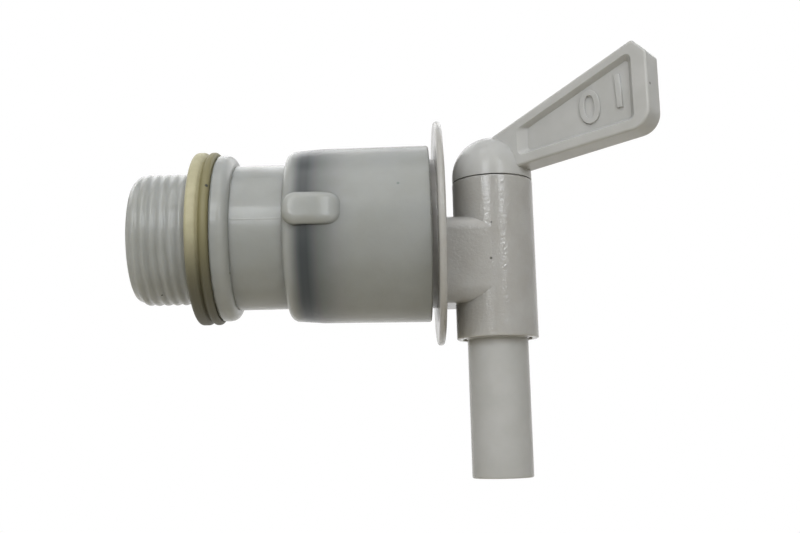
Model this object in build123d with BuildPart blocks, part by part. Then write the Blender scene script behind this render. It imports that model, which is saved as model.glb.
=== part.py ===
"""Canister tap with a 3/4 inch tail thread, a push-in socket and a turning plug.

Frame: +X runs along the flow, +Z is up, and the origin lies on the thread axis at the
inner end of the thread, just before the sealing ring. All sizes are millimetres.
"""

import os

from build123d import *

# Inlet thread, G 3/4, kept as a plain pin at its major diameter
thread_radius = 26.44 / 2
thread_length = 11.9
thread_lead = 1.1
shank_radius = 12.0
inlet_bore_radius = 10.0

# Sealing ring of rubber, with two rounded ridges
ring_gap = 0.15
ring_width = 4.45
ring_radius = 17.35
ring_bore_gap = 0.05
ring_groove_width = 1.2
ring_groove_depth = 0.75
ring_groove_offset = 0.3
ring_round = 0.72

# Collar and neck of the connector
collar_rise = 2.15
collar_width = 3.5
collar_round = 1.9
collar_edge_round = 0.6
neck_length = 10.2
neck_wall = 2.5
neck_root_round = 0.4
bore_step_inset = 0.4
bore_step_length = 2.0

# Socket barrel of the connector, drafted towards its mouth
barrel_length = 28.1
barrel_start_radius = 16.95
barrel_bend_length = 6.7
barrel_bend_rise = 0.55
barrel_end_rise = 0.8
shoulder_step = 2.45
shoulder_round = 1.8
mouth_round = 0.4
mouth_lead = 0.5
socket_floor = 2.7
socket_wall = 1.85

# Tightening lugs on the barrel, one on each side of the parting plane
lug_inset = 0.1
lug_length = 11.5
lug_flat_length = 5.8
lug_width = 6.4
lug_corner = 2.75
lug_bury = 1.65
lug_rise = 1.45
lug_tail_sink = 0.2
lug_round = 1.7
lug_turn = -6.9

# Gasket at the bottom of the socket
gasket_width = 3.8
gasket_side_gap = 0.05
gasket_lip = 0.2
gasket_gap = 0.1

# Spigot of the tap body, with a snap bead that runs in a groove of the socket
spigot_clearance = 0.08
spigot_wall = 2.42
spigot_lead = 0.6
bead_inset = 4.0
bead_width = 1.6
bead_rise = 0.45
bead_side_gap = 0.2
bead_top_gap = 0.15

# Flange disc, held a little off the mouth of the socket
mouth_gap = 1.1
flange_thickness = 1.4
flange_radius = 22.5
flange_round = 0.6
flange_wall = 2.2

# Stub that joins the flange to the upright plug housing
stub_width = 16.0
stub_height = 17.2
stub_corner = 3.2
stub_wall = 1.8
stub_drop = 6.2

# Upright plug housing
housing_reach = 11.9
housing_radius = 8.1
housing_top = 10.15
housing_bottom = -21.6
housing_round = 0.3

# Plug: a slow taper that runs in the housing, with the spout below and the cap above
spout_radius = 6.0
spout_wall = 1.6
spout_bottom = -48.6
spout_round = 0.35
plug_step = 0.05
plug_taper = 0.25
plug_clearance = 0.05
plug_crown_wall = 1.65
plug_bore_round = 2.0
port_radius = 4.2
cap_gap = 0.2
cap_inset = 0.05
cap_wall = 1.05
snap_rise = 0.5
snap_height = 0.7
snap_gap = 0.2
snap_side_gap = 0.35
snap_recess_depth = 1.4

# Lever paddle, swung from straight ahead towards the left of someone facing the spout
lever_swing = 35.0
lever_thickness = 5.9
lever_reach = 35.35
lever_low_rise = 0.77
lever_low_slope = 0.112
lever_root_height = 6.98
lever_top_slope = 0.43
lever_cut_length = 2.8
lever_heel_round = 4.0
lever_tip_round = 0.7
lever_edge_round = 0.5
pocket_start = 7.7
pocket_margin = 2.0
pocket_tip_margin = 3.0
pocket_depth = 1.2
pocket_round = 1.1
pocket_floor_round = 0.6
pocket_start_run = 1.9
pocket_low_run = 0.8
pocket_tip_run = 1.0
pocket_top_run = 0.75

# Stations along the flow, each worked out from the one before
ring_start = ring_gap
ring_end = ring_start + ring_width
ring_split = (ring_start + ring_end) / 2 + ring_groove_offset
collar_end = ring_end + collar_width
bore_step_start = ring_end + bore_step_inset
bore_step_end = bore_step_start + bore_step_length
barrel_start = collar_end + neck_length
barrel_bend = barrel_start + barrel_bend_length
barrel_end = barrel_start + barrel_length
socket_bottom = barrel_start + socket_floor
lug_start = barrel_start + lug_inset
lug_end = lug_start + lug_length
lug_ramp_start = lug_start + lug_flat_length
spigot_start = socket_bottom + gasket_width + gasket_gap
bead_start = barrel_end - bead_inset
bead_end = bead_start + bead_width
flange_start = barrel_end + mouth_gap
flange_end = flange_start + flange_thickness
housing_x = flange_start + housing_reach

# Radii and heights that follow from the pieces they fit
barrel_bend_radius = barrel_start_radius + barrel_bend_rise
barrel_end_radius = barrel_start_radius + barrel_end_rise
neck_radius = barrel_start_radius - shoulder_step
neck_bore_radius = neck_radius - neck_wall
collar_radius = neck_radius + collar_rise
socket_bore_radius = barrel_start_radius - socket_wall
lug_root = barrel_start_radius - lug_bury
lug_top = barrel_bend_radius + lug_rise
lug_tail = barrel_bend_radius - lug_tail_sink
gasket_radius = socket_bore_radius - gasket_side_gap
gasket_bore_radius = neck_bore_radius - gasket_lip
spigot_radius = socket_bore_radius - spigot_clearance
spigot_bore_radius = spigot_radius - spigot_wall
bead_radius = spigot_radius + bead_rise
waterway_radius = stub_width / 2 - stub_wall
plug_bore_radius = spout_radius - spout_wall
plug_bottom_radius = spout_radius + plug_step
plug_top_radius = plug_bottom_radius + plug_taper
cap_radius = housing_radius - cap_inset
cap_height = housing_top + cap_gap
dome_height = cap_height + cap_wall
plug_bore_top = cap_height - plug_crown_wall
snap_radius = plug_bottom_radius + snap_rise
snap_recess_radius = snap_radius + snap_side_gap
snap_top = housing_bottom + snap_recess_depth - snap_gap
snap_bottom = snap_top - snap_height
lever_low_root = cap_height + lever_low_rise
lever_low_end = lever_low_root + lever_low_slope * lever_reach
lever_top_root = lever_low_root + lever_root_height
lever_cut_start = lever_reach - lever_cut_length
lever_cut_height = lever_top_root + lever_top_slope * lever_cut_start
pocket_tip = lever_reach - pocket_tip_margin
pocket_low_root = lever_low_root + pocket_margin
pocket_top_root = lever_top_root - pocket_margin
floor_start = pocket_start + pocket_start_run
floor_tip = pocket_tip - pocket_tip_run
floor_low_root = pocket_low_root + pocket_low_run
floor_top_root = pocket_top_root - pocket_top_run

# Axes and planes that the pieces share
housing_axis = Axis((housing_x, 0, 0), (0, 0, 1))
housing_plane = Plane((housing_x, 0, 0), x_dir=(1, 0, 0), z_dir=(0, -1, 0))
stub_plane = Plane((flange_start, 0, -stub_drop), x_dir=(0, 1, 0), z_dir=(1, 0, 0))
lever_plane = Plane(
    (housing_x, 0, 0),
    x_dir=Vector(1, 0, 0).rotate(Axis.Z, -lever_swing),
    z_dir=Vector(0, -1, 0).rotate(Axis.Z, -lever_swing),
)

os.makedirs("parts", exist_ok=True)


def corner(x, r):
    """Give the corner of the open sketch that lies nearest to a station and radius."""
    return vertices().sort_by_distance((x, r))[0]


def panel_corners(start, tip, low_root, top_root):
    """Give the corners of the sunk panel, whose edges run along the lever's own edges."""
    return (
        (start, low_root + lever_low_slope * start),
        (tip, low_root + lever_low_slope * tip),
        (tip, top_root + lever_top_slope * tip),
        (start, top_root + lever_top_slope * start),
    )


# One tightening lug: a rounded pad that curves down into the barrel
with BuildPart() as lug:
    with BuildSketch(Plane.XY):
        with BuildLine():
            Polyline(
                (lug_end, -lug_tail),
                (lug_end, -lug_root),
                (lug_start, -lug_root),
                (lug_start, -lug_top),
                (lug_ramp_start, -lug_top),
            )
            TangentArc((lug_ramp_start, -lug_top), (lug_end, -lug_tail), tangent=(1, 0))
        make_face()
    extrude(amount=lug_width / 2, both=True)
    fillet(lug.edges().filter_by(Axis.Y), lug_corner)
    # The rim of the top runs on smoothly all round, so one of its edges brings in the rest
    fillet(lug.edges().filter_by(Axis.X).sort_by(Axis.Y)[0], lug_round)

# Connector: thread, collar, neck and socket barrel turned as one moulding
with BuildPart() as connector_body:
    with BuildSketch(Plane.XZ):
        with BuildLine():
            Polyline(
                (-thread_length, inlet_bore_radius),
                (-thread_length, thread_radius - thread_lead),
                (-thread_length + thread_lead, thread_radius),
                (0, thread_radius),
                (0, shank_radius),
                (ring_end, shank_radius),
                (ring_end, collar_radius),
                (collar_end, collar_radius),
                (collar_end, neck_radius),
                (barrel_start, neck_radius),
                (barrel_start, barrel_start_radius),
                (barrel_bend, barrel_bend_radius),
                (barrel_end, barrel_end_radius),
                (barrel_end, socket_bore_radius + mouth_lead),
                (barrel_end - mouth_lead, socket_bore_radius),
                (bead_end + bead_side_gap, socket_bore_radius),
                (bead_end + bead_side_gap, bead_radius + bead_top_gap),
                (bead_start - bead_side_gap, bead_radius + bead_top_gap),
                (bead_start - bead_side_gap, socket_bore_radius),
                (socket_bottom, socket_bore_radius),
                (socket_bottom, neck_bore_radius),
                (bore_step_end, neck_bore_radius),
                (bore_step_start, inlet_bore_radius),
                close=True,
            )
        make_face()
        fillet(corner(ring_end, collar_radius), collar_edge_round)
        fillet(corner(collar_end, collar_radius), collar_round)
        fillet(corner(barrel_start, neck_radius), neck_root_round)
        fillet(corner(barrel_start, barrel_start_radius), shoulder_round)
        fillet(corner(barrel_end, barrel_end_radius), mouth_round)
    revolve(axis=Axis.X)
    with Locations(Rotation(lug_turn, 0, 0), Rotation(lug_turn + 180, 0, 0)):
        add(lug.part)
connector_body.part.label = "connector_body"
export_step(connector_body.part, "parts/connector_body.step")

# Sealing ring that sits behind the thread and bears on the collar
ring_groove_start = ring_split - ring_groove_width / 2
ring_groove_end = ring_split + ring_groove_width / 2
with BuildPart() as sealing_ring:
    with BuildSketch(Plane.XZ):
        with BuildLine():
            Polyline(
                (ring_start, shank_radius + ring_bore_gap),
                (ring_start, ring_radius),
                (ring_groove_start, ring_radius),
                (ring_split, ring_radius - ring_groove_depth),
                (ring_groove_end, ring_radius),
                (ring_end, ring_radius),
                (ring_end, shank_radius + ring_bore_gap),
                close=True,
            )
        make_face()
        fillet(corner(ring_start, ring_radius), ring_round)
        fillet(corner(ring_groove_start, ring_radius), ring_round)
        fillet(corner(ring_groove_end, ring_radius), ring_round)
        fillet(corner(ring_end, ring_radius), ring_round)
    revolve(axis=Axis.X)
sealing_ring.part.label = "sealing_ring"
export_step(sealing_ring.part, "parts/sealing_ring.step")

# Flat gasket at the bottom of the socket
with BuildPart() as socket_gasket:
    with BuildSketch(Plane.YZ.offset(socket_bottom)):
        Circle(gasket_radius)
        Circle(gasket_bore_radius, mode=Mode.SUBTRACT)
    extrude(amount=gasket_width)
socket_gasket.part.label = "socket_gasket"
export_step(socket_gasket.part, "parts/socket_gasket.step")

# Tap body: spigot, flange, stub and upright housing in one moulding
with BuildPart() as tap_body:
    with BuildSketch(Plane.XZ):
        with BuildLine():
            Polyline(
                (spigot_start, spigot_bore_radius),
                (spigot_start, spigot_radius - spigot_lead),
                (spigot_start + spigot_lead, spigot_radius),
                (bead_start, spigot_radius),
                (bead_start + bead_rise, bead_radius),
                (bead_end, bead_radius),
                (bead_end, spigot_radius),
                (flange_start, spigot_radius),
                (flange_start, flange_radius),
                (flange_end, flange_radius),
                (flange_end, 0),
                (flange_end - flange_wall, 0),
                (flange_end - flange_wall, spigot_bore_radius),
                close=True,
            )
        make_face()
        fillet(corner(flange_start, flange_radius), flange_round)
        fillet(corner(flange_end, flange_radius), flange_round)
    revolve(axis=Axis.X)
    with BuildSketch(stub_plane):
        RectangleRounded(stub_width, stub_height, stub_corner)
    extrude(amount=housing_x - flange_start)
    with BuildSketch(housing_plane):
        with BuildLine():
            Polyline(
                (0, housing_bottom),
                (housing_radius, housing_bottom),
                (housing_radius, housing_top),
                (0, housing_top),
                close=True,
            )
        make_face()
        fillet(corner(housing_radius, housing_bottom), housing_round)
        fillet(corner(housing_radius, housing_top), housing_round)
    revolve(axis=housing_axis)
    # Waterway from the spigot into the housing
    with BuildSketch(stub_plane.offset(-flange_wall)):
        Circle(waterway_radius)
    extrude(amount=housing_x - flange_start + flange_wall, mode=Mode.SUBTRACT)
    # Tapered seat of the plug, with the recess for its snap rim below
    with BuildSketch(housing_plane):
        with BuildLine():
            Polyline(
                (0, housing_bottom),
                (snap_recess_radius, housing_bottom),
                (snap_recess_radius, housing_bottom + snap_recess_depth),
                (plug_bottom_radius + plug_clearance, housing_bottom + snap_recess_depth),
                (plug_top_radius + plug_clearance, housing_top),
                (0, housing_top),
                close=True,
            )
        make_face()
    revolve(axis=housing_axis, mode=Mode.SUBTRACT)
tap_body.part.label = "tap_body"
export_step(tap_body.part, "parts/tap_body.step")

# Lever paddle with the sunk panel on the side that is seen
with BuildPart() as paddle:
    with BuildSketch(lever_plane):
        with BuildLine():
            Polyline(
                (0, lever_low_root),
                (lever_reach, lever_low_end),
                (lever_reach, lever_cut_height - lever_cut_length),
                (lever_cut_start, lever_cut_height),
                (0, lever_top_root),
                close=True,
            )
        make_face()
        fillet(corner(lever_reach, lever_low_end), lever_heel_round)
        fillet(corner(lever_reach, lever_cut_height - lever_cut_length), lever_tip_round)
        fillet(corner(lever_cut_start, lever_cut_height), lever_tip_round)
    extrude(amount=lever_thickness / 2, both=True)
    broad_faces = paddle.faces().sort_by(SortBy.AREA)[-2:]
    fillet(broad_faces.edges(), lever_edge_round)
    with BuildSketch(lever_plane.offset(lever_thickness / 2)):
        with BuildLine():
            Polyline(
                *panel_corners(pocket_start, pocket_tip, pocket_low_root, pocket_top_root),
                close=True,
            )
        make_face()
        fillet(vertices(), pocket_round)
    with BuildSketch(lever_plane.offset(lever_thickness / 2 - pocket_depth)):
        with BuildLine():
            Polyline(
                *panel_corners(floor_start, floor_tip, floor_low_root, floor_top_root),
                close=True,
            )
        make_face()
        fillet(vertices(), pocket_floor_round)
    loft(ruled=True, mode=Mode.SUBTRACT)

# Plug: spout, tapered plug and domed cap turned as one, with the paddle on the cap
with BuildPart() as plug_lever:
    with BuildSketch(housing_plane):
        with BuildLine():
            Polyline(
                (0, dome_height + cap_radius),
                (0, plug_bore_top),
                (plug_bore_radius, plug_bore_top),
                (plug_bore_radius, spout_bottom),
                (spout_radius, spout_bottom),
                (spout_radius, snap_bottom - snap_radius + spout_radius),
                (snap_radius, snap_bottom),
                (snap_radius, snap_top),
                (plug_bottom_radius, snap_top),
                (plug_top_radius, cap_height),
                (cap_radius, cap_height),
                (cap_radius, dome_height),
            )
            CenterArc((0, dome_height), cap_radius, 0, 90)
        make_face()
        fillet(corner(plug_bore_radius, plug_bore_top), plug_bore_round)
        fillet(corner(spout_radius, spout_bottom), spout_round)
        fillet(corner(plug_bore_radius, spout_bottom), spout_round)
    revolve(axis=housing_axis)
    add(paddle.part)
    # Side port, a quarter turn round from the lever
    with BuildSketch(lever_plane):
        with Locations((0, -stub_drop)):
            Circle(port_radius)
    extrude(amount=plug_top_radius + 1, mode=Mode.SUBTRACT)
plug_lever.part.label = "plug_lever"
export_step(plug_lever.part, "parts/plug_lever.step")
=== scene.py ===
"""Canister tap in milky plastic: the looks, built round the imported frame.

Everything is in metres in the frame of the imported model: +X runs along the flow, +Z is
up, and the origin lies on the thread axis at the inner end of the inlet thread. Sizes in
the classes below are written in millimetres and turned to metres by MM.
"""

from __future__ import annotations

import logging
import math
from collections.abc import Callable
from dataclasses import dataclass
from enum import Enum

import bpy
from mathutils import Matrix, Vector


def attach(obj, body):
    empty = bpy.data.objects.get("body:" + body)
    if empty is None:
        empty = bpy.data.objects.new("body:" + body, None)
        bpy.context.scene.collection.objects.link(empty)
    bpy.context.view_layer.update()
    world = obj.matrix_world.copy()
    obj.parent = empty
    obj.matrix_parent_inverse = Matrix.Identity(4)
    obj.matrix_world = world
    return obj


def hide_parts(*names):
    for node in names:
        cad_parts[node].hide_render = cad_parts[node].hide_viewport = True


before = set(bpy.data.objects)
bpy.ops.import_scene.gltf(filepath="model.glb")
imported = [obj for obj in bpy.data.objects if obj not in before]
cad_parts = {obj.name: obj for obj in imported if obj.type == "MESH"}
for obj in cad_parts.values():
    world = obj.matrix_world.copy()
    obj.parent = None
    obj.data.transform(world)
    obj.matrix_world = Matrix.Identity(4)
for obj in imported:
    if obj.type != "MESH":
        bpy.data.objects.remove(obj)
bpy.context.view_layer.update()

MM = 0.001
WHITE = "#ffffff"
# Height of a digit in the built-in letters, as a share of their size.
DIGIT_HEIGHT = 0.7
# Watts per square metre that give the face of an area lamp a glow of one.
POWER_PER_GLOW = 4.0

log = logging.getLogger("canister_tap")


class Body(Enum):
    """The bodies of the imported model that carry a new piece."""

    CONNECTOR = "connector"
    PLUG = "plug"


class Slot(Enum):
    """Names of the record's material slots; the new pieces here get their materials directly.
    """

    CONNECTOR = "connector_polyethylene"
    PLUG = "white_plastic"


class Part(Enum):
    """The parts of a mesh that are selected by their place."""

    FACE = "FACE"
    EDGE = "EDGE"


def linear_rgba(hex_colour: str) -> tuple[float, float, float, float]:
    """Turn an sRGB colour into the linear values that a shader socket takes.

    Args:
        hex_colour: The colour as "#rrggbb".

    Returns:
        Red, green, blue and an alpha of one.
    """
    channels = []
    for start in (1, 3, 5):
        value = int(hex_colour[start : start + 2], 16) / 255
        if value <= 0.04045:
            channels.append(value / 12.92)
        else:
            channels.append(((value + 0.055) / 1.055) ** 2.4)
    return channels[0], channels[1], channels[2], 1.0


def add_node(
    tree: bpy.types.NodeTree,
    kind: str,
    settings: dict[str | int, object] | None = None,
    links: dict[str | int, bpy.types.NodeSocket] | None = None,
) -> bpy.types.Node:
    """Add a shader node, set it up and link its inputs.

    Args:
        tree: The node tree that gets the node.
        kind: Blender's name for the kind of node.
        settings: Values for the node's own settings, or for inputs by name or number.
        links: Sockets that feed the node's inputs, by name or number.

    Returns:
        The new node.
    """
    node = tree.nodes.new(kind)
    for key, value in (settings or {}).items():
        if isinstance(key, str) and hasattr(node, key):
            setattr(node, key, value)
        else:
            node.inputs[key].default_value = value
    for key, socket in (links or {}).items():
        tree.links.new(socket, node.inputs[key])
    return node


def deselect_all() -> None:
    """Leave nothing selected, so that an operator acts only on what is picked next."""
    if bpy.context.mode != "OBJECT":
        bpy.ops.object.mode_set(mode="OBJECT")
    bpy.ops.object.select_all(action="DESELECT")


def pick(piece: bpy.types.Object) -> None:
    """Select one piece alone and make it active.

    Args:
        piece: The object to pick.
    """
    deselect_all()
    piece.select_set(True)
    bpy.context.view_layer.objects.active = piece


def clear_selection(piece: bpy.types.Object, part: Part) -> None:
    """Get a piece ready for selecting parts of its mesh, with none selected yet.

    Args:
        piece: The object to get ready.
        part: The kind of part that will be selected.
    """
    pick(piece)
    bpy.ops.object.mode_set(mode="EDIT")
    bpy.ops.mesh.select_mode(type=part.value)
    bpy.ops.mesh.select_all(action="DESELECT")
    bpy.ops.object.mode_set(mode="OBJECT")


def select_faces(
    piece: bpy.types.Object, wanted: Callable[[bpy.types.MeshPolygon], bool]
) -> None:
    """Open a piece in edit mode with only the wanted faces selected.

    Args:
        piece: The object to open.
        wanted: Says for a face whether it is selected.
    """
    clear_selection(piece, Part.FACE)
    for face in piece.data.polygons:
        face.select = wanted(face)
    bpy.ops.object.mode_set(mode="EDIT")


def select_edges(
    piece: bpy.types.Object, wanted: Callable[[Vector, Vector], bool]
) -> None:
    """Open a piece in edit mode with only the wanted edges selected.

    Args:
        piece: The object to open.
        wanted: Says for an edge's two ends whether it is selected.
    """
    clear_selection(piece, Part.EDGE)
    points = piece.data.vertices
    for edge in piece.data.edges:
        edge.select = wanted(points[edge.vertices[0]].co, points[edge.vertices[1]].co)
    bpy.ops.object.mode_set(mode="EDIT")


def radius_from_flow(point: Vector) -> float:
    """Give a point's distance from the axis of the flow."""
    return math.hypot(point.y, point.z)


def dress(node: str, material: bpy.types.Material) -> None:
    """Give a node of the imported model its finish.

    Args:
        node: The node's name.
        material: The finish.
    """
    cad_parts[node].material_slots[0].material = material


@dataclass(frozen=True)
class Speck:
    """A small dark speck on a surface, at a place in millimetres: mostly wear, in one place
    painted shade.

    It is full inside core and gone outside rim, which are shares of its size.
    """

    x: float
    y: float
    z: float
    size: float
    colour: str = "#2e2c26"
    core: float = 0.35
    rim: float = 0.65


@dataclass(frozen=True)
class Moulded:
    """A moulded surface whose colour clouds slowly and whose skin is faintly uneven.

    The cloudiness keeps broad faces from looking like paint, and the uneven skin breaks
    up the highlights.
    """

    name: str
    colour: str
    cloud: str
    cloud_size: float = 7.0
    cloud_detail: float = 3.0
    cloud_roughness: float = 0.55
    cloud_low: float = 0.25
    cloud_high: float = 0.75
    roughness: float = 0.16
    gloss_spread: float = 0.03
    ior: float = 1.5
    grain_size: float = 0.55
    grain_height: float = 0.010
    grain_detail: float = 2.0
    specks: tuple[Speck, ...] = ()

    def make(self) -> bpy.types.Material:
        """Build the material.

        Returns:
            The finished material.
        """
        material = bpy.data.materials.new(self.name)
        material.use_nodes = True
        tree = material.node_tree
        shader = tree.nodes["Principled BSDF"]
        place = add_node(tree, "ShaderNodeTexCoord").outputs["Object"]
        clouds = add_node(
            tree,
            "ShaderNodeTexNoise",
            {
                "Scale": 1 / (self.cloud_size * MM),
                "Detail": self.cloud_detail,
                "Roughness": self.cloud_roughness,
            },
            {"Vector": place},
        ).outputs["Fac"]
        share = add_node(
            tree,
            "ShaderNodeMapRange",
            {
                "interpolation_type": "SMOOTHSTEP",
                "From Min": self.cloud_low,
                "From Max": self.cloud_high,
            },
            {"Value": clouds},
        )
        colour = add_node(
            tree,
            "ShaderNodeMix",
            {"data_type": "RGBA", 6: linear_rgba(self.colour), 7: linear_rgba(self.cloud)},
            {0: share.outputs["Result"]},
        ).outputs[2]
        colour = self.tint(tree, place, colour)
        for speck in self.specks:
            colour = self.add_speck(tree, place, colour, speck)
        tree.links.new(colour, shader.inputs["Base Color"])
        gloss = add_node(
            tree,
            "ShaderNodeMapRange",
            {
                "interpolation_type": "SMOOTHSTEP",
                "From Min": self.cloud_low,
                "From Max": self.cloud_high,
                "To Min": self.roughness - self.gloss_spread,
                "To Max": self.roughness + self.gloss_spread,
            },
            {"Value": clouds},
        )
        tree.links.new(gloss.outputs["Result"], shader.inputs["Roughness"])
        bump = add_node(
            tree,
            "ShaderNodeBump",
            {"Strength": 1.0, "Distance": MM},
            {"Height": self.relief(tree, place)},
        )
        tree.links.new(bump.outputs["Normal"], shader.inputs["Normal"])
        shader.inputs["IOR"].default_value = self.ior
        self.set_depth(shader)
        return material

    def tint(
        self,
        tree: bpy.types.NodeTree,
        place: bpy.types.NodeSocket,
        colour: bpy.types.NodeSocket,
    ) -> bpy.types.NodeSocket:
        """Leave the colour as it is; finishes with zones of their own change it here."""
        return colour

    def set_depth(self, shader: bpy.types.Node) -> None:
        """Leave the surface opaque; finishes that let light in change this."""

    def relief(
        self, tree: bpy.types.NodeTree, place: bpy.types.NodeSocket
    ) -> bpy.types.NodeSocket:
        """Draw the uneven skin.

        Args:
            tree: The material's node tree.
            place: The object coordinates.

        Returns:
            The skin's height in millimetres.
        """
        grain = add_node(
            tree,
            "ShaderNodeTexNoise",
            {"Scale": 1 / (self.grain_size * MM), "Detail": self.grain_detail},
            {"Vector": place},
        )
        return add_node(
            tree,
            "ShaderNodeMath",
            {"operation": "MULTIPLY", 1: self.grain_height},
            {0: grain.outputs["Fac"]},
        ).outputs["Value"]

    def add_speck(
        self,
        tree: bpy.types.NodeTree,
        place: bpy.types.NodeSocket,
        colour: bpy.types.NodeSocket,
        speck: Speck,
    ) -> bpy.types.NodeSocket:
        """Lay one speck over the colour.

        Args:
            tree: The material's node tree.
            place: The object coordinates.
            colour: The colour so far.
            speck: The speck to lay.

        Returns:
            The colour with the speck.
        """
        away = add_node(
            tree,
            "ShaderNodeVectorMath",
            {"operation": "DISTANCE", 1: (speck.x * MM, speck.y * MM, speck.z * MM)},
            {0: place},
        )
        cover = add_node(
            tree,
            "ShaderNodeMapRange",
            {
                "From Min": speck.core * speck.size * MM,
                "From Max": speck.rim * speck.size * MM,
                "To Min": 1.0,
                "To Max": 0.0,
            },
            {"Value": away.outputs["Value"]},
        )
        return add_node(
            tree,
            "ShaderNodeMix",
            {"data_type": "RGBA", 7: linear_rgba(speck.colour)},
            {0: cover.outputs["Result"], 6: colour},
        ).outputs[2]


@dataclass(frozen=True)
class MilkyPlastic(Moulded):
    """Moulded polyolefin: glossy and a little see-through.

    The light that it lets in softens every edge and lifts the shaded sides and gaps.
    """

    scatter: float = 0.6
    scatter_depth: float = 3.0
    scatter_tint: tuple[float, float, float] = (1.0, 0.95, 0.85)
    specular: float = 0.25

    def set_depth(self, shader: bpy.types.Node) -> None:
        """Let light into the plastic, a little less of the blue.

        Args:
            shader: The shader that is set up.
        """
        shader.inputs["Specular IOR Level"].default_value = self.specular
        shader.inputs["Subsurface Weight"].default_value = self.scatter
        shader.inputs["Subsurface Scale"].default_value = self.scatter_depth * MM
        shader.inputs["Subsurface Radius"].default_value = self.scatter_tint


@dataclass(frozen=True)
class BandedPlastic(MilkyPlastic):
    """Milky plastic over a black gasket, which shows through as a blue-grey band.

    The band stops at the side lugs, where the plastic is too thick to see through. A fine
    seam from the mould runs along the neck on both sides.
    """

    band: str = "#424749"
    band_rise_start: float = 18.9
    band_rise_end: float = 22.0
    band_fall_start: float = 23.0
    band_fall_end: float = 33.5
    band_fade: float = 2.0
    lug_foot_radius: float = 17.6
    lug_clear_radius: float = 18.3
    seam_turn: float = 3.5
    seam_start: float = 8.0
    seam_end: float = 18.4
    seam_width: float = 0.22
    seam_height: float = 0.03

    def tint(
        self,
        tree: bpy.types.NodeTree,
        place: bpy.types.NodeSocket,
        colour: bpy.types.NodeSocket,
    ) -> bpy.types.NodeSocket:
        """Darken the colour over the gasket.

        Args:
            tree: The material's node tree.
            place: The object coordinates.
            colour: The colour so far.

        Returns:
            The colour with the band.
        """
        along = add_node(tree, "ShaderNodeSeparateXYZ", links={0: place}).outputs["X"]
        rise = add_node(
            tree,
            "ShaderNodeMapRange",
            {
                "interpolation_type": "SMOOTHSTEP",
                "From Min": self.band_rise_start * MM,
                "From Max": self.band_rise_end * MM,
            },
            {"Value": along},
        )
        fall = add_node(
            tree,
            "ShaderNodeMapRange",
            {
                "From Min": self.band_fall_start * MM,
                "From Max": self.band_fall_end * MM,
                "To Min": 1.0,
                "To Max": 0.0,
            },
            {"Value": along},
        )
        fade = add_node(
            tree,
            "ShaderNodeMath",
            {"operation": "POWER", 1: self.band_fade},
            {0: fall.outputs["Result"]},
        )
        strip = add_node(
            tree,
            "ShaderNodeMath",
            {"operation": "MULTIPLY"},
            {0: rise.outputs["Result"], 1: fade.outputs["Value"]},
        )
        across = add_node(
            tree,
            "ShaderNodeVectorMath",
            {"operation": "MULTIPLY", 1: (0.0, 1.0, 1.0)},
            {0: place},
        )
        radius = add_node(
            tree,
            "ShaderNodeVectorMath",
            {"operation": "LENGTH"},
            {0: across.outputs["Vector"]},
        )
        thin = add_node(
            tree,
            "ShaderNodeMapRange",
            {
                "interpolation_type": "SMOOTHSTEP",
                "From Min": self.lug_foot_radius * MM,
                "From Max": self.lug_clear_radius * MM,
                "To Min": 1.0,
                "To Max": 0.0,
            },
            {"Value": radius.outputs["Value"]},
        )
        cover = add_node(
            tree,
            "ShaderNodeMath",
            {"operation": "MULTIPLY"},
            {0: strip.outputs["Value"], 1: thin.outputs["Result"]},
        )
        return add_node(
            tree,
            "ShaderNodeMix",
            {"data_type": "RGBA", 7: linear_rgba(self.band)},
            {0: cover.outputs["Value"], 6: colour},
        ).outputs[2]

    def relief(
        self, tree: bpy.types.NodeTree, place: bpy.types.NodeSocket
    ) -> bpy.types.NodeSocket:
        """Add the mould's seam to the uneven skin.

        Args:
            tree: The material's node tree.
            place: The object coordinates.

        Returns:
            The skin's height in millimetres.
        """
        skin = super().relief(tree, place)
        return add_node(
            tree,
            "ShaderNodeMath",
            {"operation": "ADD"},
            {0: skin, 1: self.seam(tree, place)},
        ).outputs["Value"]

    def seam(
        self, tree: bpy.types.NodeTree, place: bpy.types.NodeSocket
    ) -> bpy.types.NodeSocket:
        """Draw the fine seam that the mould left along the neck.

        Args:
            tree: The material's node tree.
            place: The object coordinates.

        Returns:
            The seam's height in millimetres.
        """
        turned = add_node(
            tree,
            "ShaderNodeMapping",
            {"Rotation": (math.radians(self.seam_turn), 0.0, 0.0)},
            {"Vector": place},
        )
        axes = add_node(tree, "ShaderNodeSeparateXYZ", links={0: turned.outputs["Vector"]})
        off = add_node(
            tree, "ShaderNodeMath", {"operation": "ABSOLUTE"}, {0: axes.outputs["Z"]}
        )
        ridge = add_node(
            tree,
            "ShaderNodeMapRange",
            {
                "interpolation_type": "SMOOTHSTEP",
                "From Min": 0.0,
                "From Max": self.seam_width * MM,
                "To Min": self.seam_height,
                "To Max": 0.0,
            },
            {"Value": off.outputs["Value"]},
        )
        before_end = add_node(
            tree,
            "ShaderNodeMath",
            {"operation": "LESS_THAN", 1: self.seam_end * MM},
            {0: axes.outputs["X"]},
        )
        after_start = add_node(
            tree,
            "ShaderNodeMath",
            {"operation": "GREATER_THAN", 1: self.seam_start * MM},
            {0: axes.outputs["X"]},
        )
        on_neck = add_node(
            tree,
            "ShaderNodeMath",
            {"operation": "MULTIPLY"},
            {0: before_end.outputs["Value"], 1: after_start.outputs["Value"]},
        )
        return add_node(
            tree,
            "ShaderNodeMath",
            {"operation": "MULTIPLY"},
            {0: ridge.outputs["Result"], 1: on_neck.outputs["Value"]},
        ).outputs["Value"]


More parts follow.
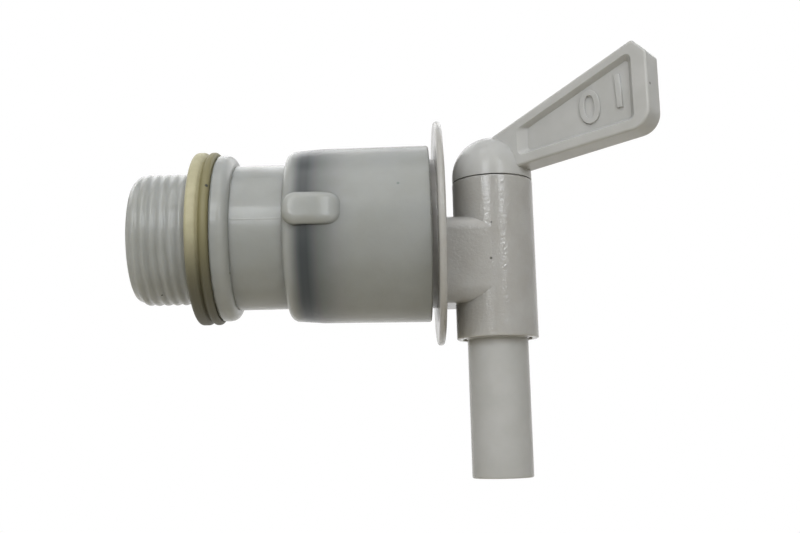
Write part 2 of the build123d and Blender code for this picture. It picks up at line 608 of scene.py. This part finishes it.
@dataclass(frozen=True)
class RidgedRubber(Moulded):
    """Cream rubber with two ridges: dull, the second one darker, and darker underneath with
    painted shade.
    """

    second_ridge: str = "#78724f"
    split: float = 2.675
    split_blur: float = 0.15
    # Painted shade: the colour that darkens both ridges towards the bottom, between these
    # heights in millimetres.
    painted_shade: str = "#524e3a"
    painted_shade_top: float = 3.0
    painted_shade_bottom: float = -13.0

    def tint(
        self,
        tree: bpy.types.NodeTree,
        place: bpy.types.NodeSocket,
        colour: bpy.types.NodeSocket,
    ) -> bpy.types.NodeSocket:
        """Colour the second ridge, then paint shade on both, darker towards the bottom.

        Args:
            tree: The material's node tree.
            place: The object coordinates.
            colour: The colour of the first ridge.

        Returns:
            The colour of both ridges with the painted shade.
        """
        axes = add_node(tree, "ShaderNodeSeparateXYZ", links={0: place})
        past = add_node(
            tree,
            "ShaderNodeMapRange",
            {
                "From Min": (self.split - self.split_blur) * MM,
                "From Max": (self.split + self.split_blur) * MM,
            },
            {"Value": axes.outputs["X"]},
        )
        both = add_node(
            tree,
            "ShaderNodeMix",
            {"data_type": "RGBA", 7: linear_rgba(self.second_ridge)},
            {0: past.outputs["Result"], 6: colour},
        )
        # Painted shade: the ridges darken towards the bottom, where less light falls.
        low = add_node(
            tree,
            "ShaderNodeMapRange",
            {
                "interpolation_type": "SMOOTHSTEP",
                "From Min": self.painted_shade_top * MM,
                "From Max": self.painted_shade_bottom * MM,
            },
            {"Value": axes.outputs["Z"]},
        )
        return add_node(
            tree,
            "ShaderNodeMix",
            {"data_type": "RGBA", 7: linear_rgba(self.painted_shade)},
            {0: low.outputs["Result"], 6: both.outputs[2]},
        ).outputs[2]


@dataclass
class Connector:
    """The inlet moulding with its cut thread, the sealing ring and the hidden gasket.

    The thread is turned spare_turns too long at both ends and then cut to length. The gaps
    and slacks say how near is near enough when points are welded and parts selected.
    """

    pitch: float = 1.814
    thread_length: float = 11.9
    crest_radius: float = 13.2
    root_radius: float = 12.97
    bore_radius: float = 10.0
    tooth_points: int = 12
    thread_steps: int = 120
    spare_turns: int = 2
    lead_shrink: float = 0.917
    lead_length: float = 2.4
    bore_margin: float = 0.05
    weld_gap: float = 0.001
    face_slack: float = 0.01
    cut_slack: float = 0.0001
    rim_slack: float = 0.0002
    smooth_angle: float = 32.0

    def build(self) -> None:
        """Make and dress the pieces of the connector."""
        moulding = self.copy_moulding()
        thread = self.turn_thread()
        self.join_thread(moulding, thread)
        moulding.data.materials.clear()
        moulding.data.materials.append(self.plastic().make())
        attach(moulding, Body.CONNECTOR.value)
        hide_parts("connector_body")
        log.info("connector moulding: %d faces", len(moulding.data.polygons))
        dress("sealing_ring", self.ring_rubber().make())
        log.info("sealing ring dressed")
        dress("socket_gasket", self.gasket_rubber().make())
        log.info("socket gasket dressed")

    def plastic(self) -> BandedPlastic:
        """Describe the moulding's plastic, cloudy and soft, with light deep inside it."""
        return BandedPlastic(
            name="natural_polyethylene",
            colour="#9fa19f",
            cloud="#999b97",
            scatter=1.0,
            scatter_depth=6.0,
            specular=0.35,
            roughness=0.23,
            specks=(
                Speck(-6.22, -5.4, -11.88, 0.45),
                Speck(8.09, -11.94, -8.92, 0.5, "#6b6a60"),
                Speck(40.27, -16.36, 6.69, 0.5, "#7b8280"),
            ),
        )

    def ring_rubber(self) -> RidgedRubber:
        """Describe the sealing ring's rubber, dull and a little grainy."""
        return RidgedRubber(
            name="cream_rubber",
            colour="#b5b08f",
            cloud="#a8a283",
            cloud_size=3.0,
            roughness=0.55,
            grain_size=0.4,
            grain_height=0.02,
            specks=(Speck(4.23, -15.65, 7.27, 0.65, "#1d1b16"),),
        )

    def gasket_rubber(self) -> Moulded:
        """Describe the gasket's rubber, dull and nearly black."""
        return Moulded(name="black_rubber", colour="#222224", cloud="#2b2b2d", roughness=0.6)

    def copy_moulding(self) -> bpy.types.Object:
        """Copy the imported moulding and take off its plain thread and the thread's end face.

        Returns:
            The copy, open where the cut thread goes.
        """
        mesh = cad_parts["connector_body"].data.copy()
        piece = bpy.data.objects.new("connector", mesh)
        bpy.context.scene.collection.objects.link(piece)
        pick(piece)
        bpy.ops.object.mode_set(mode="EDIT")
        bpy.ops.mesh.select_all(action="SELECT")
        bpy.ops.mesh.remove_doubles(threshold=self.weld_gap * MM)
        bpy.ops.mesh.customdata_custom_splitnormals_clear()
        end = self.face_slack * MM
        inner = (self.bore_radius + self.bore_margin) * MM
        select_faces(
            piece,
            lambda face: face.center.x < end and radius_from_flow(face.center) > inner,
        )
        bpy.ops.mesh.delete(type="FACE")
        bpy.ops.object.mode_set(mode="OBJECT")
        return piece

    def draw_tooth(self) -> bpy.types.Object:
        """Draw the outline of one tooth, a wave, by extruding a point along it.

        Returns:
            The outline, ahead of the thread's tail.
        """
        deselect_all()
        bpy.ops.mesh.primitive_plane_add(size=self.pitch * MM)
        tooth = bpy.context.active_object
        tooth.name = "thread"
        bpy.ops.object.mode_set(mode="EDIT")
        bpy.ops.mesh.select_mode(type="VERT")
        bpy.ops.mesh.select_all(action="SELECT")
        bpy.ops.mesh.merge(type="CENTER")
        start = -self.thread_length - self.spare_turns * self.pitch
        bpy.ops.transform.translate(value=(start * MM, 0.0, self.root_radius * MM))
        half_height = (self.crest_radius - self.root_radius) / 2
        lift = 0.0
        for point in range(1, self.tooth_points + 1):
            new_lift = half_height * (1 - math.cos(2 * math.pi * point / self.tooth_points))
            move = (self.pitch / self.tooth_points * MM, 0.0, (new_lift - lift) * MM)
            bpy.ops.mesh.extrude_vertices_move(TRANSFORM_OT_translate={"value": move})
            lift = new_lift
        bpy.ops.object.mode_set(mode="OBJECT")
        return tooth

    def turn_thread(self) -> bpy.types.Object:
        """Turn the thread's skin from one tooth with a screw, and trim it to length.

        Returns:
            The open skin of the thread.
        """
        thread = self.draw_tooth()
        screw = thread.modifiers.new("turns", "SCREW")
        screw.axis = "X"
        screw.steps = self.thread_steps
        screw.render_steps = self.thread_steps
        screw.screw_offset = self.pitch * MM
        screw.iterations = math.ceil(self.thread_length / self.pitch) + 2 * self.spare_turns
        screw.use_smooth_shade = True
        bpy.ops.object.modifier_apply(modifier=screw.name)
        bpy.ops.object.mode_set(mode="EDIT")
        bpy.ops.mesh.select_all(action="SELECT")
        bpy.ops.mesh.remove_doubles(threshold=self.weld_gap * MM)
        for station, side in ((-self.thread_length, -1), (0.0, 1)):
            bpy.ops.mesh.select_all(action="SELECT")
            bpy.ops.mesh.bisect(
                plane_co=(station * MM, 0, 0),
                plane_no=(side, 0, 0),
                threshold=self.cut_slack * MM,
                clear_outer=True,
            )
        bpy.ops.mesh.select_all(action="SELECT")
        bpy.ops.mesh.normals_make_consistent(inside=False)
        self.round_lead(thread)
        return thread

    def round_lead(self, thread: bpy.types.Object) -> None:
        """Draw in the tail of the thread, so that it leads into its nut.

        Args:
            thread: The skin of the thread.
        """
        tail = -self.thread_length * MM
        select_edges(thread, lambda a, b: max(a.x, b.x) < tail + self.rim_slack * MM)
        bpy.ops.transform.resize(
            value=(1.0, self.lead_shrink, self.lead_shrink),
            center_override=(tail, 0.0, 0.0),
            use_proportional_edit=True,
            proportional_edit_falloff="SHARP",
            proportional_size=self.lead_length * MM,
        )
        bpy.ops.object.mode_set(mode="OBJECT")

    def join_thread(self, moulding: bpy.types.Object, thread: bpy.types.Object) -> None:
        """Close the moulding with the thread's skin.

        Args:
            moulding: The open moulding, which takes the skin in.
            thread: The skin.
        """
        pick(moulding)
        thread.select_set(True)
        bpy.ops.object.join()
        for station in (-self.thread_length, 0.0):
            select_edges(
                moulding,
                lambda a, b, x=station * MM: self.is_on_rim(a, x) and self.is_on_rim(b, x),
            )
            bpy.ops.mesh.bridge_edge_loops()
        bpy.ops.object.mode_set(mode="OBJECT")
        pick(moulding)
        bpy.ops.object.shade_smooth_by_angle(angle=math.radians(self.smooth_angle))

    def is_on_rim(self, point: Vector, station: float) -> bool:
        """Tell whether a point lies on an open rim at a station along the flow.

        Args:
            point: The point, in metres.
            station: The rim's place along the flow, in metres.

        Returns:
            Whether it lies there, and not inside the bore.
        """
        inner = (self.bore_radius - self.bore_margin) * MM
        return abs(point.x - station) < self.rim_slack * MM and radius_from_flow(point) > inner


@dataclass
class Tap:
    """The tap moulding: spigot, flange, stub and upright housing."""

    def build(self) -> None:
        """Dress the tap moulding."""
        dress("tap_body", self.plastic().make())
        log.info("tap body dressed")

    def plastic(self) -> MilkyPlastic:
        """Describe the moulding's plastic, with a grained skin that breaks the gloss."""
        return MilkyPlastic(
            name="milky_polyethylene",
            colour="#aaa9a6",
            cloud="#a19f9a",
            grain_height=0.07,
            specular=0.5,
            specks=(
                Speck(57.92, -8.0, -6.57, 0.5, "#54524a"),
                # Painted shade: this speck is a dark tick in the corner where the stub steps
                # into the housing.
                Speck(58.19, -8.01, 0.53, 0.4, "#54524a"),
            ),
        )


@dataclass
class Plug:
    """The turning plug with its spout and lever, and the raised sign on the lever."""

    axis_x: float = 59.4
    lever_swing: float = 35.0
    pocket_floor: float = 1.75
    sign_rise: float = 0.45
    sign_sink: float = 0.2
    sign_edge: float = 0.12
    sign_edge_steps: int = 2
    sign_height: float = 6.4
    sign_tilt: float = 3.0
    shut_place: tuple[float, float] = (23.2, 20.7)
    open_place: tuple[float, float] = (29.2, 22.6)

    def build(self) -> None:
        """Make and dress the pieces of the plug."""
        plastic = self.plastic().make()
        dress("plug_lever", plastic)
        log.info("plug and lever dressed")
        shut_mark = self.raise_digit("0", self.shut_place)
        open_mark = self.raise_digit("1", self.open_place)
        pick(shut_mark)
        open_mark.select_set(True)
        bpy.ops.object.join()
        shut_mark.name = "lever_sign"
        shut_mark.data.materials.clear()
        shut_mark.data.materials.append(plastic)
        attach(shut_mark, Body.PLUG.value)
        log.info("lever sign: %d faces", len(shut_mark.data.polygons))

    def plastic(self) -> MilkyPlastic:
        """Describe the moulding's plastic, whiter and denser than the tap's."""
        return MilkyPlastic(
            name="white_polypropylene",
            colour="#b8b8b6",
            cloud="#b0b0ad",
            scatter=0.35,
            roughness=0.22,
            specks=(Speck(87.34, -21.73, 23.22, 0.5, "#55544c"),),
        )

    def raise_digit(self, digit: str, place: tuple[float, float]) -> bpy.types.Object:
        """Raise one plain digit from the floor of the lever's pocket.

        Args:
            digit: The digit.
            place: Its middle on the lever: along it from the plug's axis, and up.

        Returns:
            The digit as a mesh in its place.
        """
        deselect_all()
        bpy.ops.object.text_add()
        mark = bpy.context.active_object
        mark.data.body = digit
        mark.data.align_x = "CENTER"
        mark.data.align_y = "CENTER"
        mark.data.size = self.sign_height / DIGIT_HEIGHT * MM
        mark.data.extrude = (self.sign_rise + self.sign_sink) / 2 * MM
        mark.data.bevel_depth = self.sign_edge * MM
        mark.data.bevel_resolution = self.sign_edge_steps
        bpy.ops.object.convert(target="MESH")
        mark = bpy.context.active_object
        swing = math.radians(self.lever_swing)
        along = Vector((math.cos(swing), -math.sin(swing), 0.0))
        up = Vector((0.0, 0.0, 1.0))
        out = along.cross(up)
        turn = Matrix((along, up, out)).transposed().to_4x4()
        lift = self.pocket_floor + (self.sign_rise - self.sign_sink) / 2 - self.sign_edge
        spot = Vector((self.axis_x, 0.0, 0.0)) + place[0] * along + place[1] * up + lift * out
        tilt = Matrix.Rotation(math.radians(self.sign_tilt), 4, "Z")
        mark.matrix_world = Matrix.Translation(spot * MM) @ turn @ tilt
        bpy.ops.object.transform_apply(location=True, rotation=True, scale=True)
        return mark


@dataclass(frozen=True)
class Lamp:
    """A soft lamp: where it hangs, the size of its face in millimetres, and its glow."""

    name: str
    azimuth: float
    elevation: float
    width: float
    height: float
    glow: float
    colour: str = WHITE
    distance: float = 600.0


@dataclass
class Studio:
    """Pale floor, soft light with a paned window, and the photograph's camera."""

    target: tuple[float, float, float] = (40.3, 0.0, -6.5)
    distance: float = 209.35
    azimuth: float = 0.125
    elevation: float = 9.302
    roll: float = -1.398
    lens: float = 46.88
    clip_start: float = 10.0
    floor_height: float = -80.0
    floor_size: float = 4000.0
    floor_roughness: float = 0.9
    floor_glow: float = 0.85
    shadow_reach: float = 120.0
    shadow_end: float = 230.0
    floor_bounce: str = "#cec7b6"
    room_light: float = 0.12
    lamps: tuple[Lamp, ...] = (
        Lamp("key", -12.0, 60.0, 500.0, 700.0, 1.25, "#fffdfa", 700.0),
        Lamp("fill", 0.0, 0.0, 500.0, 150.0, 0.36, "#fff6ea"),
        Lamp("back", 145.0, 40.0, 600.0, 400.0, 0.7, WHITE, 700.0),
        Lamp("back", -145.0, 40.0, 600.0, 400.0, 0.7, WHITE, 700.0),
        Lamp("pane", -20.0, 18.0, 190.0, 120.0, 6.8, "#f8fbff"),
        Lamp("pane", -20.0, 32.0, 190.0, 120.0, 6.8, "#f8fbff"),
        Lamp("pane", 22.0, 18.0, 163.0, 120.0, 5.8, "#f6faff"),
        Lamp("pane", 22.0, 32.0, 163.0, 120.0, 5.8, "#f6faff"),
    )

    def build(self) -> None:
        """Set up everything around the object."""
        self.set_camera()
        self.lay_floor()
        self.light_room()
        for lamp in self.lamps:
            self.hang_lamp(lamp)
        bpy.context.scene.view_settings.view_transform = "Standard"
        log.info("studio ready")

    def set_camera(self) -> None:
        """Place the camera where the photograph was taken from."""
        yaw = math.radians(self.azimuth)
        pitch = math.radians(self.elevation)
        forward = Vector(
            (math.sin(yaw) * math.cos(pitch), math.cos(yaw) * math.cos(pitch), math.sin(pitch))
        )
        camera = bpy.data.objects.new("camera", bpy.data.cameras.new("camera"))
        bpy.context.scene.collection.objects.link(camera)
        turn = forward.to_track_quat("-Z", "Y").to_matrix().to_4x4()
        place = (Vector(self.target) - self.distance * forward) * MM
        roll = Matrix.Rotation(math.radians(self.roll), 4, "Z")
        camera.matrix_world = Matrix.Translation(place) @ turn @ roll
        camera.data.lens = self.lens
        camera.data.clip_start = self.clip_start * MM
        bpy.context.scene.camera = camera

    def lay_floor(self) -> None:
        """Lay a floor that is white paper to the eye and returns a little warm light."""
        deselect_all()
        bpy.ops.mesh.primitive_plane_add(
            size=self.floor_size * MM, location=(0, 0, self.floor_height * MM)
        )
        floor = bpy.context.active_object
        floor.name = "floor"
        material = bpy.data.materials.new("white_paper")
        material.use_nodes = True
        tree = material.node_tree
        shader = tree.nodes["Principled BSDF"]
        shader.inputs["Roughness"].default_value = self.floor_roughness
        shader.inputs["Specular IOR Level"].default_value = 0.0
        seen = self.seen_directly(tree)
        paper = add_node(
            tree,
            "ShaderNodeMix",
            {"data_type": "RGBA", 6: linear_rgba(self.floor_bounce), 7: linear_rgba(WHITE)},
            {0: seen},
        )
        tree.links.new(paper.outputs[2], shader.inputs["Base Color"])
        white = add_node(tree, "ShaderNodeEmission", {"Strength": 1.0})
        away = add_node(
            tree,
            "ShaderNodeVectorMath",
            {"operation": "DISTANCE", 1: (self.target[0] * MM, self.target[1] * MM, 0.0)},
            {0: add_node(tree, "ShaderNodeTexCoord").outputs["Object"]},
        )
        glow = add_node(
            tree,
            "ShaderNodeMapRange",
            {
                "interpolation_type": "SMOOTHSTEP",
                "From Min": self.shadow_reach * MM,
                "From Max": self.shadow_end * MM,
                "To Min": self.floor_glow,
                "To Max": 1.0,
            },
            {"Value": away.outputs["Value"]},
        )
        share = add_node(
            tree,
            "ShaderNodeMath",
            {"operation": "MULTIPLY"},
            {0: seen, 1: glow.outputs["Result"]},
        )
        mix = add_node(
            tree,
            "ShaderNodeMixShader",
            links={
                0: share.outputs["Value"],
                1: shader.outputs["BSDF"],
                2: white.outputs["Emission"],
            },
        )
        tree.links.new(mix.outputs["Shader"], tree.nodes["Material Output"].inputs["Surface"])
        floor.data.materials.append(material)

    def seen_directly(self, tree: bpy.types.NodeTree) -> bpy.types.NodeSocket:
        """Tell the rays that show the background: the eye's, and mirrored or passed ones.

        Args:
            tree: The node tree that asks.

        Returns:
            A socket that is one for such rays.
        """
        path = add_node(tree, "ShaderNodeLightPath")
        mirrored = add_node(
            tree,
            "ShaderNodeMath",
            {"operation": "MAXIMUM"},
            {0: path.outputs["Is Camera Ray"], 1: path.outputs["Is Glossy Ray"]},
        )
        passed = add_node(
            tree,
            "ShaderNodeMath",
            {"operation": "MAXIMUM"},
            {0: mirrored.outputs["Value"], 1: path.outputs["Is Transmission Ray"]},
        )
        return passed.outputs["Value"]

    def light_room(self) -> None:
        """Fill the room with even light, before a white backdrop."""
        world = bpy.data.worlds.new("room")
        world.use_nodes = True
        bpy.context.scene.world = world
        tree = world.node_tree
        soft = tree.nodes["Background"]
        soft.inputs["Color"].default_value = linear_rgba(WHITE)
        soft.inputs["Strength"].default_value = self.room_light
        white = add_node(
            tree, "ShaderNodeBackground", {"Color": linear_rgba(WHITE), "Strength": 1.0}
        )
        mix = add_node(
            tree,
            "ShaderNodeMixShader",
            links={
                0: self.seen_directly(tree),
                1: soft.outputs["Background"],
                2: white.outputs["Background"],
            },
        )
        tree.links.new(mix.outputs["Shader"], tree.nodes["World Output"].inputs["Surface"])

    def hang_lamp(self, lamp: Lamp) -> None:
        """Hang one lamp so that it faces the object.

        Args:
            lamp: The lamp to hang.
        """
        turn = math.radians(lamp.azimuth)
        rise = math.radians(lamp.elevation)
        towards = Vector(
            (math.sin(turn) * math.cos(rise), -math.cos(turn) * math.cos(rise), math.sin(rise))
        )
        light = bpy.data.lights.new(lamp.name, "AREA")
        light.shape = "RECTANGLE"
        light.size = lamp.width * MM
        light.size_y = lamp.height * MM
        light.color = linear_rgba(lamp.colour)[:3]
        light.energy = lamp.glow * POWER_PER_GLOW * light.size * light.size_y
        hung = bpy.data.objects.new(lamp.name, light)
        bpy.context.scene.collection.objects.link(hung)
        facing = towards.to_track_quat("Z", "Y").to_matrix().to_4x4()
        place = (Vector(self.target) + lamp.distance * towards) * MM
        hung.matrix_world = Matrix.Translation(place) @ facing


def main() -> None:
    """Build the tap and its surroundings."""
    logging.basicConfig(level=logging.INFO, format="%(name)s: %(message)s")
    Connector().build()
    Tap().build()
    Plug().build()
    Studio().build()


if __name__ == "__main__":
    main()
